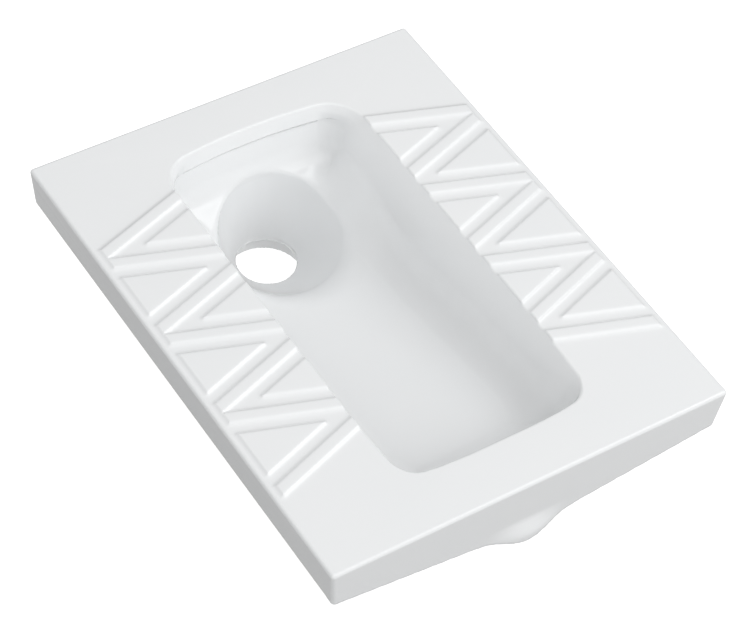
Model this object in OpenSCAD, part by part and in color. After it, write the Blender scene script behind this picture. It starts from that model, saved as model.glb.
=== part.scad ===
// Flat squat pan for a floor: one white glazed china casting with a skirted deck, two zigzag
// tread fields, a sloping basin and a rear sump, and the two rubber seals that join it to its
// pipes.
// Origin: on the axis of the outlet, at the lower end of its spigot. +Z is up, the front of the
// pan faces -Y and its outlet end is at +Y.

/* [Deck] */
// Width of the deck, side to side
deck_w = 472; // [400:1:566]
// Length of the deck, front to back
deck_l = 600; // [500:1:720]
// Height of the deck's top above the end of the outlet spigot
pan_h = 190; // [186:1:228]
// Radius of the deck's corners, seen from above
deck_corner_r = 8; // [6:1:20]
// Rounding of the deck's top edge
deck_edge_r = 4; // [3:0.5:5]
// Thickness of the deck
deck_t = 12; // [10:0.5:15]
// Depth of the skirt below the deck's top, at the sides and the back
skirt_h = 52; // [44:1:62]
// Thickness of the skirt
skirt_t = 12; // [10:0.5:15]
// How far the side skirts lean in for each millimetre down
side_lean = 0.12; // [0:0.01:0.14]
// How far the front and rear skirts lean in for each millimetre down
end_lean = 0.04; // [0:0.01:0.08]
// How much deeper the front apron hangs in the middle than at its corners
apron_droop = 31; // [15:1:36]
// How far the rounded keel hangs below the apron
keel_h = 9; // [6:1:16]
// Half width of the keel
keel_half_w = 56; // [45:1:75]
// How far the foot of the keel stands out in front of the apron
nose_out = 8; // [4:0.5:10]

/* [Basin] */
// Width of the basin at its rim
basin_w = 234; // [200:1:254]
// From the basin's rear rim to the back of the deck
rear_margin = 55; // [50:1:66]
// From the basin's front rim to the front of the deck
front_margin = 60; // [50:1:80]
// Rounding of the basin's rim
rim_r = 5; // [3:0.5:6]
// Thickness of the basin's wall
wall_t = 11; // [9:0.5:14]
// Depth of the basin's floor below the deck, at its front
floor_front_d = 67; // [60:1:72]
// Fall of the floor towards the sump, for each millimetre of length
floor_fall = 0.135; // [0.1:0.005:0.15]
// Rise of the ledge beside the sump towards the rear wall, for each millimetre of length
ledge_rise = 0.28; // [0.2:0.01:0.34]
// Radius of the fillet between the basin's side walls and its floor
fillet_r = 35; // [25:1:42]
// Depth of the lip that hides the flush slot
lip_d = 20; // [17:1:24]
// How far the wall under the lip steps back
lip_step = 3; // [1:0.5:4]

/* [Sump and outlet] */
// From the outlet's axis to the back of the deck
drain_from_rear = 109; // [106:1:116]
// Radius of the sump's mouth
sump_r = 77; // [70:1:78]
// From the outlet's axis forward to the centre of the sump's mouth
sump_shift = 37; // [30:1:40]
// Depth of the sump's rear edge below the deck
sump_d = 72; // [66:1:76]
// Radius of the drain hole
drain_r = 33.5; // [28:0.5:36]
// Depth of the drain hole below the deck
drain_d = 161; // [158:1:164]
// Outer radius of the outlet spigot
spigot_r = 51; // [49:0.5:55]
// Wall of the outlet spigot
spigot_t = 7; // [6:0.5:9]
// Depth of the outlet seal's seat in the spigot
seat_depth = 1; // [0.5:0.25:2]

/* [Treads] */
// Height of the raised treads above the deck
tread_h = 3; // [2:0.25:4]
// Width of a raised strip, measured front to back
strip_w = 12.5; // [9:0.5:15]
// Width of the groove between a strip and a triangle, measured front to back
groove_w = 16.5; // [13:0.5:19]
// Width of the sloping flank round a tread
flank_w = 7.5; // [5:0.5:8]
// From the back of the deck to the first strip, along the rim
tread_from_rear = 101; // [90:1:110]
// Length of one zigzag
tread_pitch = 115; // [105:1:125]
// From the rear strip of a zigzag to its front strip, along the rim
tread_lag = 87.5; // [82:0.5:92]
// How far a strip runs forward or back between the rim and the border
tread_rise = 36.5; // [30:0.5:40]
// Width of the plain border outside the treads
border_w = 10; // [10:1:20]
// From the basin's rim to the treads' inner edge
tread_in = 2; // [2:0.25:4]
// Least plain length of deck in front of the treads
tread_end_margin = 90; // [80:1:110]

/* [Flush inlet] */
// Half length of the flush channel, side to side
channel_half_w = 100; // [80:1:105]
// Depth of the flush channel's floor below the deck
channel_d = 66; // [64:1:72]
// Height of the flush slot
slot_h = 4; // [3:0.5:8]
// Half length of the flush slot
slot_half_w = 88; // [70:1:90]
// Radius of the inlet's bore in the china
inlet_r = 21; // [19:0.5:22]
// Depth of the inlet's axis below the deck
inlet_d = 44; // [40:1:46]
// Radius of the boss round the inlet
boss_r = 32; // [28:0.5:33]
// Radius of the flush pipe
pipe_r = 16; // [12:0.5:16]

/* [Seals] */
// Clearance between a seal and the china round it
seal_clear = 0.1; // [0:0.05:0.3]
// Clearance between the flush pipe and the inlet seal's bore
pipe_clear = 0.1; // [0:0.05:0.3]
// Thickness of the inlet seal's collar, outside the deck
collar_t = 4; // [3:0.5:6]
// How far the inlet seal's collar reaches past the bore
collar_w = 7; // [4:0.5:9]
// Height of the outlet seal
outlet_seal_h = 12; // [9:1:14]
// Width of the outlet seal's lips, outside the spigot
outlet_seal_w = 5; // [4:0.5:7]
// Free length of the spigot's seat below the outlet seal
seat_play = 1; // [0.5:0.5:3]

/* [Hidden] */

// Steps in a round corner, in a rim rounding, in a quarter of the basin's outline, in the
// fillet between its wall and its floor, and down the sump, and points round the sump
corner_steps = 5;
round_steps = 4;
outline_steps = 14;
fillet_steps = 9;
sump_steps = 12;
sump_points = 60;
// Overlap of solids that are cut or joined
lap = 1;
// How far the keel stays above the apron's lower edge
keel_in = 2;
// Free length of the spigot, below the underside of the sump
spigot_h = pan_h - drain_d - wall_t / 2;
// The outlet seal's seat: its radius and its lower end
seat_r = spigot_r - seat_depth;
seat_z = spigot_h - seal_clear - outlet_seal_h - seat_play;

china = [0.93, 0.94, 0.94];
rubber = [0.16, 0.16, 0.17];

// Places along Y
rear_y = drain_from_rear;
front_y = rear_y - deck_l;
mid_y = (rear_y + front_y) / 2;
rim_rear_y = rear_y - rear_margin;
rim_front_y = front_y + front_margin;
sump_y = -sump_shift;
// Places down the basin's sides where its bottom changes its slope
side_ys = [for (i = [0:5]) rim_rear_y - 62 - 17 * i];

// Places across X
half_w = deck_w / 2;
rim_x = basin_w / 2;
tread_out_x = half_w - border_w;
field_w = tread_out_x - rim_x;

// Height of a point that lies d below the deck's top
function below(d) = pan_h - d;

// ---- Surfaces skinned over rings of points ----

// Triangles that close a ring of n points, in strips across it, so that a ring whose height
// changes from front to back gets a floor that is level from side to side
function cap(n) = concat(
    [[0, 1, n - 1]],
    [for (i = [1:1:floor((n - 1) / 2) - 1]) each [[i, i + 1, n - i - 1], [i, n - i - 1, n - i]]],
    n % 2 == 0 ? [[n / 2 - 1, n / 2, n / 2 + 1]] : []);

// A closed skin over rings that run from the top down, each clockwise seen from above
module skin(rings) {
    n = len(rings[0]);
    last = (len(rings) - 1) * n;
    polyhedron(
        points = [for (ring = rings) each ring],
        faces = concat(
            cap(n),
            [for (k = [0:n:last - n], i = [0:n - 1]) [k + i, k + n + i, k + n + (i + 1) % n]],
            [for (k = [0:n:last - n], i = [0:n - 1]) [k + i, k + n + (i + 1) % n, k + (i + 1) % n]],
            [for (t = cap(n)) [last + t[2], last + t[1], last + t[0]]]));
}

// ---- Deck, skirt and apron ----

// A rectangle with round corners round the deck's middle, inset from the deck's edges
function deck_ring(inset_x, inset_y, r, z) = [
    for (corner = [[1, 1, 90], [1, -1, 0], [-1, -1, -90], [-1, 1, 180]], i = [0:corner_steps])
        let (a = corner[2] - 90 * i / corner_steps)
        [corner[0] * (half_w - inset_x - r) + r * cos(a),
         mid_y + corner[1] * (deck_l / 2 - inset_y - r) + r * sin(a),
         z]];

// The deck's outline at depth d: its top edge is round, and below it the skirt leans in
function deck_level(d) =
    let (over = max(d - deck_edge_r, 0),
         up = min(d, deck_edge_r),
         round_in = deck_edge_r - sqrt(pow(deck_edge_r, 2) - pow(deck_edge_r - up, 2)))
    deck_ring(round_in + side_lean * over, round_in + end_lean * over, deck_corner_r, below(d));

// Lowest point of the front apron at x: a shallow V with a rounded keel in the middle
function apron_d(x) =
    let (soft = 15,
         reach = sqrt(pow(half_w, 2) + pow(soft, 2)) - soft,
         out = (sqrt(x * x + soft * soft) - soft) / reach,
         t = min(abs(x) / keel_half_w, 1))
    skirt_h + apron_droop * (1 - out) + keel_h * pow(cos(90 * t), 2);

deepest_d = apron_d(0);

// What stands below the line z = apron_d(x), from -half to half
module below_apron(half, bottom_d) {
    steps = 2 * ceil(half / 6);
    polygon(concat(
        [for (i = [0:steps]) let (x = half * (2 * i / steps - 1)) [x, below(apron_d(x))]],
        [[half, below(bottom_d)], [-half, below(bottom_d)]]));
}

module deck_block() {
    edge = [for (i = [0:round_steps]) deck_edge_r * (1 - cos(90 * i / round_steps))];
    difference() {
        union() {
            skin(concat([for (d = edge) deck_level(d)], [deck_level(deepest_d + lap)]));
        }
        // the hollow under the deck
        skin([
            let (d = deck_t)
                deck_ring(skirt_t + side_lean * d, skirt_t + end_lean * d, deck_corner_r, below(d)),
            let (d = deepest_d + 2 * lap)
                deck_ring(skirt_t + side_lean * d, skirt_t + end_lean * d, deck_corner_r, below(d))]);
        // sides and back end at the skirt's depth
        translate([-half_w - lap, front_y + skirt_t + lap, below(deepest_d) - 3 * lap])
            cube([deck_w + 2 * lap, deck_l, deepest_d - skirt_h + 3 * lap]);
        // the apron's lower edge
        translate([0, front_y + 2 * skirt_t, 0])
            rotate([90, 0, 0])
                linear_extrude(2 * skirt_t + nose_out + lap)
                    below_apron(half_w + lap, deepest_d + 4 * lap);
    }
}

// The front of the keel, which swells out of the apron towards its foot
module nose() {
    top_d = skirt_h + 6;
    foot_d = deepest_d - 9;
    back = front_y + skirt_t / 2;
    sunk = 0.5;
    skin([for (i = [0:7])
        let (share = min(i / 6, 1),
             d = i < 7 ? top_d + share * (foot_d - top_d) : deepest_d + lap,
             front = front_y + end_lean * (d - deck_edge_r) + sunk,
             right = [for (j = [6:-1:0]) let (x = keel_half_w * j / 6)
                 [x, front - (nose_out + sunk) * share * share * (3 - 2 * share) * pow(cos(15 * j), 2)]])
        [for (q = concat([[0, back], [keel_half_w, back]], right,
                [for (j = [5:-1:0]) [-right[j][0], right[j][1]]], [[-keel_half_w, back]]))
            [q[0], q[1], below(d)]]]);
}

// The keel runs back from the apron and dies into the underside of the basin
module keel() {
    top_d = floor_front_d + wall_t / 2;
    length = (deepest_d - keel_in - wall_t - floor_front_d) / floor_fall;
    translate([0, rim_front_y + length, 0])
        rotate([90, 0, 0])
            linear_extrude(front_margin + length - skirt_t / 2)
                difference() {
                    translate([-keel_half_w, below(deepest_d)])
                        square([2 * keel_half_w, deepest_d - top_d]);
                    translate([0, keel_in])
                        below_apron(keel_half_w + lap, deepest_d + 2 * keel_in);
                }
}

// ---- Basin and sump ----

// Depth of the basin's bottom at y: the sloping floor, and beside the sump a ledge that rises
// again towards the rear wall
function floor_d(y) =
    let (floor_at = floor_front_d + floor_fall * (y - rim_front_y - 30),
         ledge_at = sump_d + 7 + ledge_rise * (rim_rear_y - 10 - y),
         soft = 8,
         apart = (ledge_at - floor_at) / 2)
    (floor_at + ledge_at) / 2 - sqrt(apart * apart + soft * soft);

// The basin's plan at one level: [half width, rear end y, rear end length, rear squareness,
// front end y, front end length, front squareness]. Each end is half a superellipse, so the
// outline can change from nearly square to round.
rim_plan = [rim_x, rim_rear_y, 45, 3.1, rim_front_y, 32, 2.6];
lip_plan = [rim_x - 4, rim_rear_y - 4, 45, 3.1, rim_front_y + 4, 34, 2.6];
step_plan = [rim_x - 4.5, rim_rear_y - 4 + lip_step, 44, 3.4, rim_front_y + 4.5, 34, 2.6];

// Share of the way round the fillet between wall and floor: its plan and its depth
function fillet_plan(t) =
    let (in = 1 - cos(90 * t))
    [rim_x - 10 - fillet_r * in, rim_rear_y - 6 - 0.6 * fillet_r * in, 42 - 10 * t, 4.2 - 1.2 * t,
     rim_front_y + 9 + 1.2 * fillet_r * in, 38 + 12 * t, 2.5 - 0.2 * t];

function fillet_share(t) = 1 - 0.5 * (1 - sin(90 * t));

// The plan drawn outwards by g
function grown(p, g) = p + [g, g, g, 0, -g, g, 0];

// Points of a plan: rear middle, right side, front middle, left side
function outline(p) =
    let (n = outline_steps,
         rear = [for (i = [0:n]) let (a = 90 * i / n)
             [p[0] * pow(sin(a), 2 / p[3]), p[1] - p[2] + p[2] * pow(cos(a), 2 / p[3])]],
         side = [for (y = side_ys) [p[0], y]],
         front = [for (i = [n:-1:0]) let (a = 90 * i / n)
             [p[0] * pow(sin(a), 2 / p[6]), p[4] + p[5] - p[5] * pow(cos(a), 2 / p[6])]],
         right = concat(rear, side, front))
    concat(right, [for (i = [len(right) - 2:-1:1]) [-right[i][0], right[i][1]]]);

// A ring over a plan: its depth at a point is d and a share of what the floor lies deeper there
function ring_at(p, d, share, extra = 0) =
    [for (q = outline(p)) [q[0], q[1], below(d + share * (floor_d(q[1]) - d) + extra)]];

// The inside of the basin, down to its floor. The rear wall steps back under the lip.
module basin_space() {
    skin(concat(
        [ring_at(grown(rim_plan, rim_r), -tread_h - lap, 0)],
        [for (i = [0:round_steps]) let (a = 90 * i / round_steps)
            ring_at(grown(rim_plan, rim_r * (1 - sin(a))), rim_r * (1 - cos(a)), 0)],
        [ring_at(lip_plan, lip_d, 0), ring_at(step_plan, lip_d + 1, 0)],
        [for (i = [0:fillet_steps])
            ring_at(fillet_plan(i / fillet_steps), lip_d, fillet_share(i / fillet_steps))]));
}

// The outside of the basin's wall
module basin_shell() {
    skin(concat(
        [ring_at(grown(rim_plan, wall_t), deck_t / 2, 0)],
        [ring_at(grown(lip_plan, wall_t), lip_d, 0)],
        [for (t = [0, 0.35, 0.65, 1])
            ring_at(grown(fillet_plan(t), wall_t * cos(90 * t)), lip_d, fillet_share(t),
                wall_t * sin(90 * t))]));
}

// The sump's level circle at a share of its depth: [depth, centre y, radius]
function sump_level(t) =
    let (r = drain_r + (sump_r - drain_r) * (1 - pow(t, 1.9)),
         rear = (sump_y + sump_r) * (1 - t) + drain_r * t)
    [sump_d + t * (drain_d - sump_d), rear - r, r];

function circle_ring(level, g = 0, extra = 0) =
    [for (i = [0:sump_points - 1]) let (a = 90 - 360 * i / sump_points)
        [(level[2] + g) * cos(a), level[1] + (level[2] + g) * sin(a), below(level[0] + extra)]];

module sump_space() {
    skin(concat(
        [for (i = [0:sump_steps - 1]) circle_ring(sump_level(i / sump_steps))],
        [circle_ring([drain_d + 0.5, 0, drain_r - lap])]));
}

module sump_shell() {
    skin(concat(
        [for (i = [0:2:sump_steps - 1]) let (t = i / sump_steps)
            circle_ring(sump_level(t), wall_t, wall_t * 0.5 * t)],
        [circle_ring([pan_h - spigot_h, 0, spigot_r + 4])]));
}

// ---- Treads ----

// Rear edge of strip k, as [y at the rim, y at the border]: even ones run forward, odd ones back
function crease(k) =
    let (first = rear_y - tread_from_rear - tread_pitch * floor(k / 2))
    k % 2 == 0 ? [first, first - tread_rise] : [first - tread_lag, first - tread_lag + tread_rise];

function line_y(line, x) = line[0] + (line[1] - line[0]) * (x - rim_x) / field_w;

function meeting_x(a, b) = rim_x + field_w * (a[0] - b[0]) / ((a[0] - b[0]) - (a[1] - b[1]));

// As many strips as fit between the first and the plain front of the deck
strip_count = 1 + 2 * floor((deck_l - tread_from_rear - tread_end_margin) / tread_pitch);

// A flat raised tread between two lines from x0 to x1. Its flanks are hollow and run out on the
// deck, and its foot is sunk into the deck. The end at the rim is steep, to carry on the wall.
module tread(rear, front, x0, x1, end0 = 1, end1 = 1) {
    levels = [[0, tread_h], [0.25, 0.56 * tread_h], [0.55, 0.2 * tread_h], [0.9, -0.4], [0.9, -deck_t / 3]];
    slope = sqrt(1 + pow(tread_rise / field_w, 2));
    skin([for (level = levels)
        let (out = flank_w * level[0], a = x0 - out * end0, b = x1 + out * end1)
        [for (corner = [[a, rear, 1], [b, rear, 1], [b, front, -1], [a, front, -1]])
            [corner[0], line_y(corner[1], corner[0]) + corner[2] * out * slope, below(-level[1])]]]);
}

module tread_side() {
    in_x = rim_x + tread_in;
    at_rim = 0.2;
    deep = [strip_w, strip_w];
    apart = [groove_w, groove_w];
    for (k = [0:strip_count - 1])
        tread(crease(k), crease(k) - deep, in_x, tread_out_x, at_rim, 1);
    // the triangles between the strips, open to the rim and to the border in turn, each with a
    // blunt tip
    for (k = [1:strip_count - 1]) {
        rear = crease(k - 1) - deep - apart;
        front = crease(k) + apart;
        tip_x = meeting_x(rear, front);
        if (k % 2 == 1)
            tread(rear, front, in_x, tip_x - 1.5, at_rim, 1);
        else
            tread(rear, front, tip_x + 1.5, tread_out_x, 1, 1);
    }
}

// ---- Flush channel and inlet ----

module channel_block() {
    out_x = channel_half_w + wall_t;
    round_r = 20;
    depth = channel_d + wall_t - deck_t / 2;
    translate([0, rim_rear_y - 8 + rear_margin - skirt_t / 2, below(channel_d + wall_t)])
        rotate([90, 0, 0])
            linear_extrude(rear_margin - skirt_t / 2) {
                for (side = [-1, 1])
                    translate([side * (out_x - round_r), round_r])
                        circle(r = round_r, $fn = 64);
                translate([-out_x, round_r])
                    square([2 * out_x, depth - round_r]);
                translate([round_r - out_x, 0])
                    square([2 * (out_x - round_r), round_r + lap]);
            }
    translate([0, rear_y - skirt_t - lap, below(inlet_d)])
        rotate([-90, 0, 0])
            cylinder(r = boss_r, h = skirt_t + lap, $fn = 96);
}

module channel_space() {
    translate([-channel_half_w, rim_rear_y + wall_t + 1, below(channel_d)])
        cube([2 * channel_half_w, rear_margin - wall_t - skirt_t - 2, channel_d - deck_t - 2]);
    // the slot under the lip
    translate([-slot_half_w, rim_rear_y - 8, below(lip_d + 1 + slot_h)])
        cube([2 * slot_half_w, wall_t + 10, slot_h]);
    // the inlet
    translate([0, rear_y - skirt_t - 2, below(inlet_d)])
        rotate([-90, 0, 0])
            cylinder(r = inlet_r, h = skirt_t + 4, $fn = 96);
}

// ---- Outlet ----

// The spigot, with the seat for its seal up to the sump's underside
module spigot() {
    rotate_extrude($fn = 96)
        polygon([
            [0, 0],
            [spigot_r, 0],
            [spigot_r, seat_z],
            [seat_r, seat_z],
            [seat_r, spigot_h + wall_t],
            [0, spigot_h + wall_t]]);
}

// The drain hole, a cone that opens downwards, and the spigot's bore
module outlet_space() {
    bore_r = spigot_r - spigot_t;
    hole_z = below(drain_d + 3);
    rotate_extrude($fn = 96)
        polygon([
            [0, -lap],
            [bore_r, -lap],
            [bore_r, hole_z - (bore_r - drain_r)],
            [drain_r, hole_z],
            [drain_r, below(drain_d - 2)],
            [0, below(drain_d - 2)]]);
}

// ---- Pieces ----

module pan() {
    color(china) {
        difference() {
            union() {
                deck_block();
                basin_shell();
                sump_shell();
                keel();
                channel_block();
                spigot();
            }
            basin_space();
            sump_space();
            channel_space();
            outlet_space();
        }
        tread_side();
        mirror([1, 0, 0])
            tread_side();
    }
}

// Ring of rubber in the spigot's seat, with three lips that press on the drain pipe's socket
module outlet_seal() {
    top = spigot_h - seal_clear;
    lip = outlet_seal_h / 3;
    inner = seat_r + seal_clear;
    color(rubber)
        rotate_extrude($fn = 96)
            polygon(concat(
                [[inner, top - outlet_seal_h], [inner, top]],
                [for (i = [0:2]) each [
                    [spigot_r + outlet_seal_w - i, top - lip * i],
                    [spigot_r + outlet_seal_w - i, top - lip * i - lip / 3],
                    [spigot_r + outlet_seal_w / 2 - i / 2, top - lip * (i + 1)]]]));
}

// Rubber sleeve in the inlet's bore: the flush pipe pushes into it from behind
module inlet_seal() {
    depth = skirt_t + 6;
    outer = inlet_r - seal_clear;
    inner = pipe_r + pipe_clear;
    color(rubber)
        translate([0, rear_y, below(inlet_d)])
            rotate([-90, 0, 0])
                rotate_extrude($fn = 96)
                    polygon([
                        [inner, -depth],
                        [outer - 1.5, -depth],
                        [outer, -depth + 3],
                        [outer, 0],
                        [inlet_r + collar_w, 0],
                        [inlet_r + collar_w, collar_t * 0.6],
                        [inlet_r + collar_w - collar_t * 0.4, collar_t],
                        [inner, collar_t]]);
}

pan();
outlet_seal();
inlet_seal();
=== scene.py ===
"""Studio scene of a flat squat pan: one glazed china casting and its two rubber pipe seals."""

import logging
import math
from collections.abc import Callable, Iterator, Mapping
from dataclasses import dataclass
from enum import Enum

import bpy
import numpy as np
from mathutils import Matrix, Vector


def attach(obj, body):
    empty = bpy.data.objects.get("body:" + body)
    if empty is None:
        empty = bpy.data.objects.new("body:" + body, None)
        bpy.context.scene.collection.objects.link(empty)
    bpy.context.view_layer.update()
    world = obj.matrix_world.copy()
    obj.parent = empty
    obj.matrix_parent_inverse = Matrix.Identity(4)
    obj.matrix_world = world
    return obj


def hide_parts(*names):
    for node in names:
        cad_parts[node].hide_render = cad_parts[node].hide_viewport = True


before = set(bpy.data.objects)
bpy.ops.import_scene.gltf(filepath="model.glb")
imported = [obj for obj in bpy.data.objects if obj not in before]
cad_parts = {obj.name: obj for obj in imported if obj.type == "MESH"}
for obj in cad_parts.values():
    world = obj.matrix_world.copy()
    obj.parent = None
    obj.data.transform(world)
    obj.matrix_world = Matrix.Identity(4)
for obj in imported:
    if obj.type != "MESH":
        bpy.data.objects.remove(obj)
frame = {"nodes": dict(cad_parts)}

log = logging.getLogger("squat_pan")

Array = np.ndarray
Colour = tuple[float, float, float]
WHITE: Colour = (1.0, 1.0, 1.0)
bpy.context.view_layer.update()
MM = 0.001

# Sizes in millimetres that more than one part of the pan uses. Depths run down from the deck's top.
HALF_W = 236.0
FRONT_Y = -491.0
REAR_Y = 109.0
DECK_Z = 190.0
RIM_X = 117.0
WALL_T = 11.0
DRAIN_R = 33.5
DRAIN_D = 161.0
# How far the front and the rear lean in for each millimetre down
END_LEAN = 0.04

# Inner edge of the fine mesh on each side, just inside the treads
FINE_X = 108.0
# Least length that anything is divided by
TINY = 1e-9
# Width of the photograph, in pixels
IMAGE_W = 756


# ---------------- fields that describe the casting


def rounded_and(a: Array, b: Array, r: float | Array) -> Array:
    """Field of the space inside both a and b, its edge rounded.

    Args:
        a: Signed distances to the first surface, in millimetres, negative inside.
        b: The same for the second surface.
        r: Radius of the edge.

    Returns:
        Signed distances to the shared space.
    """
    over = np.hypot(np.maximum(a + r, 0.0), np.maximum(b + r, 0.0))
    return np.minimum(np.maximum(a, b), -r) + over


def filleted_or(a: Array, b: Array, r: float | Array) -> Array:
    """Field of the space inside a or b, with a fillet of radius r where they meet."""
    return -rounded_and(-a, -b, r)


def without(a: Array, b: Array, r: float | Array) -> Array:
    """Field of a with b cut out of it, and the cut's edge rounded at radius r."""
    return rounded_and(a, -b, r)


def ease(t: Array) -> Array:
    """Smooth step from 0 to 1 as t goes from 0 to 1."""
    t = np.clip(t, 0.0, 1.0)
    return t * t * (3.0 - 2.0 * t)


@dataclass(frozen=True)
class Fade:
    """An amount that comes in smoothly along a measure, backwards where length is negative."""

    amount: float
    start: float
    length: float

    def at(self, measure: Array) -> Array:
        """How much of it there is at each measure."""
        return self.amount * ease((measure - self.start) / self.length)


def rounded_rectangle(x: Array, y: Array, half_x: Array, half_y: Array, r: float) -> Array:
    """Signed distance to a rectangle with round corners, centred on the origin.

    Args:
        x: The points' x.
        y: The points' y.
        half_x: Half its width.
        half_y: Half its length.
        r: Radius of its corners.

    Returns:
        A distance for each point.
    """
    qx = np.abs(x) - (half_x - r)
    qy = np.abs(y) - (half_y - r)
    outside = np.hypot(np.maximum(qx, 0.0), np.maximum(qy, 0.0))
    return outside + np.minimum(np.maximum(qx, qy), 0.0) - r


@dataclass(frozen=True)
class Place:
    """Points of the casting, in millimetres.

    Attributes:
        x: Sideways from the middle plane.
        y: Back from the outlet's axis.
        d: Down from the top of the deck.
    """

    x: Array
    y: Array
    d: Array


def polygon_distance(corners: Array, x: Array, y: Array) -> Array:
    """Signed distance to a convex polygon, negative inside.

    Args:
        corners: Its corners in order, as rows of x and y.
        x: The points' x.
        y: The points' y.

    Returns:
        A distance for each point.
    """
    turn = np.sign(np.cross(corners[1] - corners[0], corners[2] - corners[1]))
    inside = np.full_like(x, -np.inf)
    outside = np.full_like(x, np.inf)
    for one, two in zip(corners, np.roll(corners, -1, axis=0), strict=True):
        along = two - one
        length = math.hypot(*along)
        along = along / length
        dx, dy = x - one[0], y - one[1]
        inside = np.maximum(inside, turn * (dx * along[1] - dy * along[0]))
        reach = np.clip(dx * along[0] + dy * along[1], 0.0, length)
        outside = np.minimum(outside, np.hypot(dx - along[0] * reach, dy - along[1] * reach))
    return np.where(inside < 0.0, inside, outside)


@dataclass(frozen=True)
class Treads:
    """Raised strips in a zigzag and the raised triangles between them, alike on both sides.

    Attributes:
        from_rear: From the back of the deck to the first crease, along the rim.
        lag: From a zigzag's rear crease to its front crease, along the rim.
        rise: How far a crease runs forward or back on its way out.
        strip: From a crease forward to its strip's rear and front edges.
        triangle: From a crease forward to a triangle, and from the next crease back to it.
        over_rim: How far they reach past the rim, where the basin cuts them off.
        hollow: Power that makes a tread's flank hollow.
        blend: Power that blends two flanks where they meet.
    """

    border_x: float = 226.0
    from_rear: float = 99.0
    pitch: float = 115.0
    lag: float = 87.5
    rise: float = 36.5
    strip: tuple[float, float] = (2.0, 14.5)
    triangle: tuple[float, float] = (31.0, 14.5)
    over_rim: float = 14.0
    height: float = 3.0
    flank: float = 7.5
    edge: float = 0.8
    hollow: float = 3.0
    blend: float = 4.0
    zigzags: int = 3
    deepest: float = 12.0

    def crease(self, k: int) -> tuple[float, float]:
        """Line k of the zigzag as its y at the rim and its y at the border.

        Args:
            k: Number of the crease, from the rear.

        Returns:
            The two y.
        """
        first = REAR_Y - self.from_rear - self.pitch * (k // 2)
        if k % 2 == 0:
            return first, first - self.rise
        return first - self.lag, first - self.lag + self.rise

    def at(self, k: int, ahead: float, x: float) -> tuple[float, float]:
        """The point at x on the line that runs ahead of crease k."""
        rim, border = self.crease(k)
        share = (x - RIM_X) / (self.border_x - RIM_X)
        return x, rim + (border - rim) * share - ahead

    def outlines(self) -> Iterator[Array]:
        """Corners of every strip and triangle on the right-hand side."""
        inner, outer = RIM_X - self.over_rim, self.border_x
        near, far = self.strip
        rear, front = self.triangle
        for k in range(2 * self.zigzags + 1):
            ends = ((near, inner), (near, outer), (far, outer), (far, inner))
            yield np.array([self.at(k, ahead, x) for ahead, x in ends])
            if k == 0:
                continue
            wide = inner if k % 2 else outer
            narrow = RIM_X if wide == outer else self.border_x
            gap = [self.at(k - 1, rear, x)[1] - self.at(k, -front, x)[1] for x in (wide, narrow)]
            tip = wide + (narrow - wide) * gap[0] / (gap[0] - gap[1])
            ends = ((k - 1, rear, wide), (k - 1, rear, tip), (k, -front, wide))
            yield np.array([self.at(*end) for end in ends])

    def heights(self, x: Array, y: Array) -> Array:
        """Height of the treads above the deck's plane, 0 where there are none.

        Args:
            x: The points' x.
            y: The points' y.

        Returns:
            A height for each point.
        """
        x = np.abs(x)
        total = np.zeros_like(x)
        for corners in self.outlines():
            low, high = corners.min(0) - self.flank, corners.max(0) + self.flank
            near = (x > low[0]) & (x < high[0]) & (y > low[1]) & (y < high[1])
            if not near.any():
                continue
            away = polygon_distance(corners, x[near], y[near])
            away = (away + np.hypot(away, self.edge)) / 2
            share = 1.0 - np.minimum(away / self.flank, 1.0)
            total[near] += share ** (self.hollow * self.blend)
        return self.height * total ** (1.0 / self.blend)


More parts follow.
